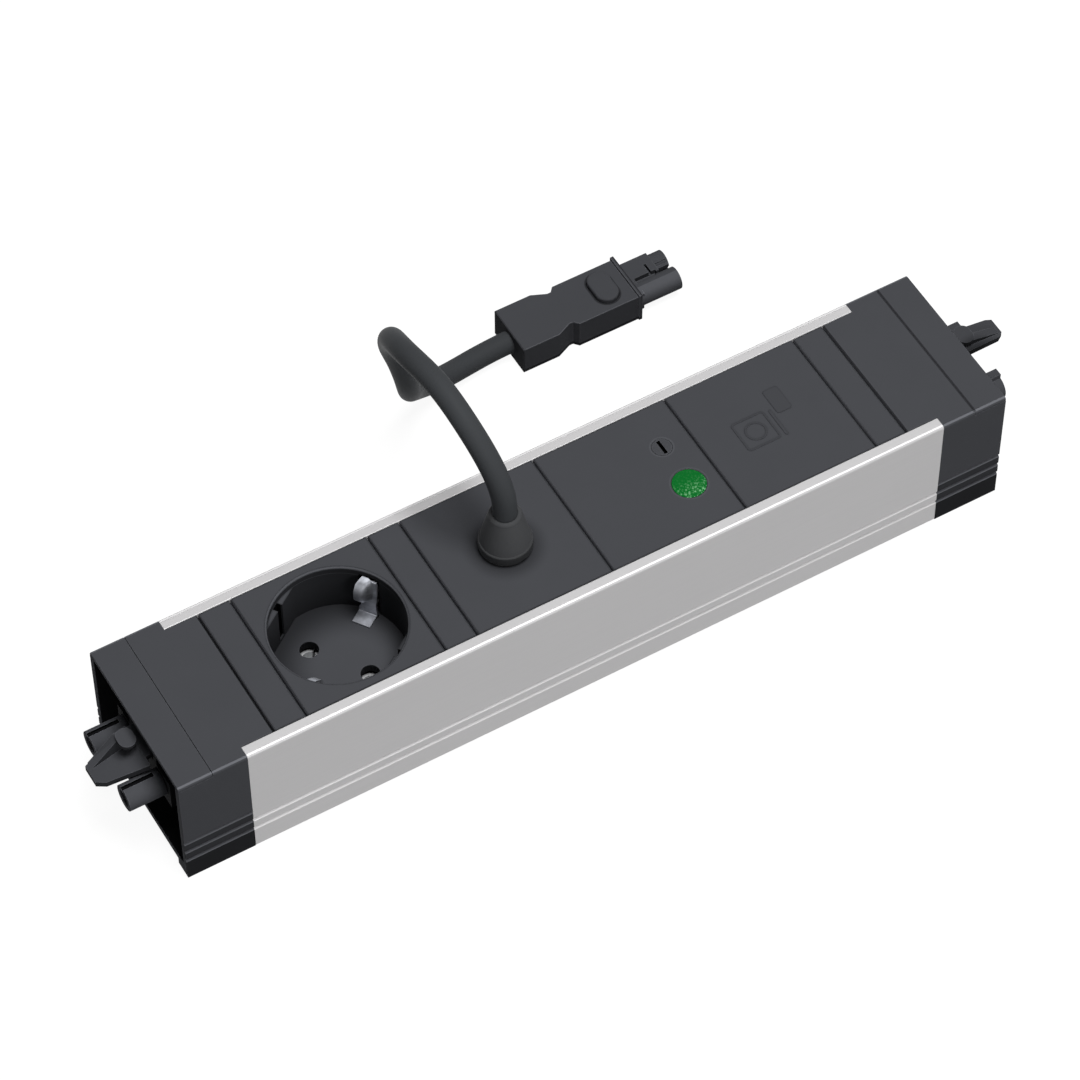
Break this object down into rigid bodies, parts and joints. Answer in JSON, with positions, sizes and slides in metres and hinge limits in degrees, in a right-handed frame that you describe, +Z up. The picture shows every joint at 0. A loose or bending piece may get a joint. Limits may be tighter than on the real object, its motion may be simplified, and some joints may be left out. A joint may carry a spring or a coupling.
{
  "type": "built-in desk socket",
  "caption": "Slim aluminium socket bar for a desk: earthed socket, cable outlet with short mains lead and flat plug, indicator and blank modules, end caps with snap connectors.",
  "frame": {"origin": "centre of the bar's footprint, on the surface it stands on", "axes": "+X along the bar towards the blank module, +Y to the back where the lead falls, +Z up out of the socket face"},
  "size_m": [0.2948, 0.1252, 0.095],
  "materials": {
    "anodised_rail": "satin clear anodised",
    "black_plastic": "fine matt",
    "socket_plastic": "fine matt",
    "connector_plastic": "fine matt",
    "inner_plastic": "matt",
    "grey_plastic": "matt",
    "soft_black": "soft matt",
    "lead_sheath": "satin",
    "screw_steel": "zinc plated",
    "spring_steel": "bright nickel plated",
    "contact_brass": "bright",
    "green_lens": "faceted, translucent",
    "led_resin": "clear resin",
    "circuit_board": "solder mask",
    "varistor_blue": "dipped coating",
    "wire_brown": "satin",
    "wire_blue": "satin",
    "wire_green_yellow": "satin, striped"
  },
  "bodies": {
    "bar": {"rail": "anodised_rail", "end_cap_left": "black_plastic", "end_cap_right": "black_plastic", "end_cover_left": "black_plastic", "end_cover_right": "black_plastic", "end_screws": "screw_steel", "filler_strip_left": "black_plastic", "filler_strip_middle": "black_plastic", "filler_strip_right": "black_plastic", "socket_face": "socket_plastic", "socket_floor": "socket_plastic", "socket_base": "inner_plastic", "socket_screws": "screw_steel", "line_contact": "contact_brass", "neutral_contact": "contact_brass", "earth_clip_strap": "spring_steel", "outlet_face": "black_plastic", "strain_relief": "soft_black", "lead_tail": "lead_sheath", "cord_clamp": "grey_plastic", "clamp_screws": "screw_steel", "terminal_block": "grey_plastic", "terminal_screws": "contact_brass", "indicator_face": "black_plastic", "indicator_lens": "green_lens", "indicator_led": "led_resin", "surge_board": "circuit_board", "board_screws": "screw_steel", "varistors": "varistor_blue", "fuse_holder": "inner_plastic", "fuse_cartridge": "screw_steel", "blank_face": "black_plastic", "wire_line": "wire_brown", "wire_neutral": "wire_blue", "wire_earth": "wire_green_yellow", "bond_tab": "spring_steel", "bond_screw": "screw_steel", "connector_left": "connector_plastic", "connector_right": "connector_plastic", "connector_contacts_left": "contact_brass", "connector_contacts_right": "contact_brass", "mains_lead": "lead_sheath", "plug_body": "connector_plastic", "plug_insert": "connector_plastic", "plug_contacts": "contact_brass"},
    "lever_left": {"latch_lever_left": "connector_plastic"},
    "lever_right": {"latch_lever_right": "connector_plastic"},
    "cap": {"fuse_cap": "black_plastic"},
    "release_button": {"plug_button": "connector_plastic"}
  },
  "joints": [
    {"name": "latch_left_press", "type": "hinge", "parent": "bar", "child": "lever_left", "pos_m": [-0.1285, 0, 0.0334], "axis": [0, -1, 0], "range_deg": [0, 4], "stiffness_Nm_per_rad": 0.3},
    {"name": "latch_right_press", "type": "hinge", "parent": "bar", "child": "lever_right", "pos_m": [0.1285, 0, 0.0375], "axis": [0, 1, 0], "range_deg": [0, 4], "stiffness_Nm_per_rad": 0.3},
    {"name": "fuse_cap_turn", "type": "hinge", "parent": "bar", "child": "cap", "pos_m": [0.03898, 0.0079, 0.0437], "axis": [0, 0, 1], "range_deg": [0, 90]},
    {"name": "release_button_press", "type": "slide", "parent": "bar", "child": "release_button", "axis": [0, 0, -1], "range_m": [0, 0.001], "stiffness_N_per_m": 600}
  ]
}
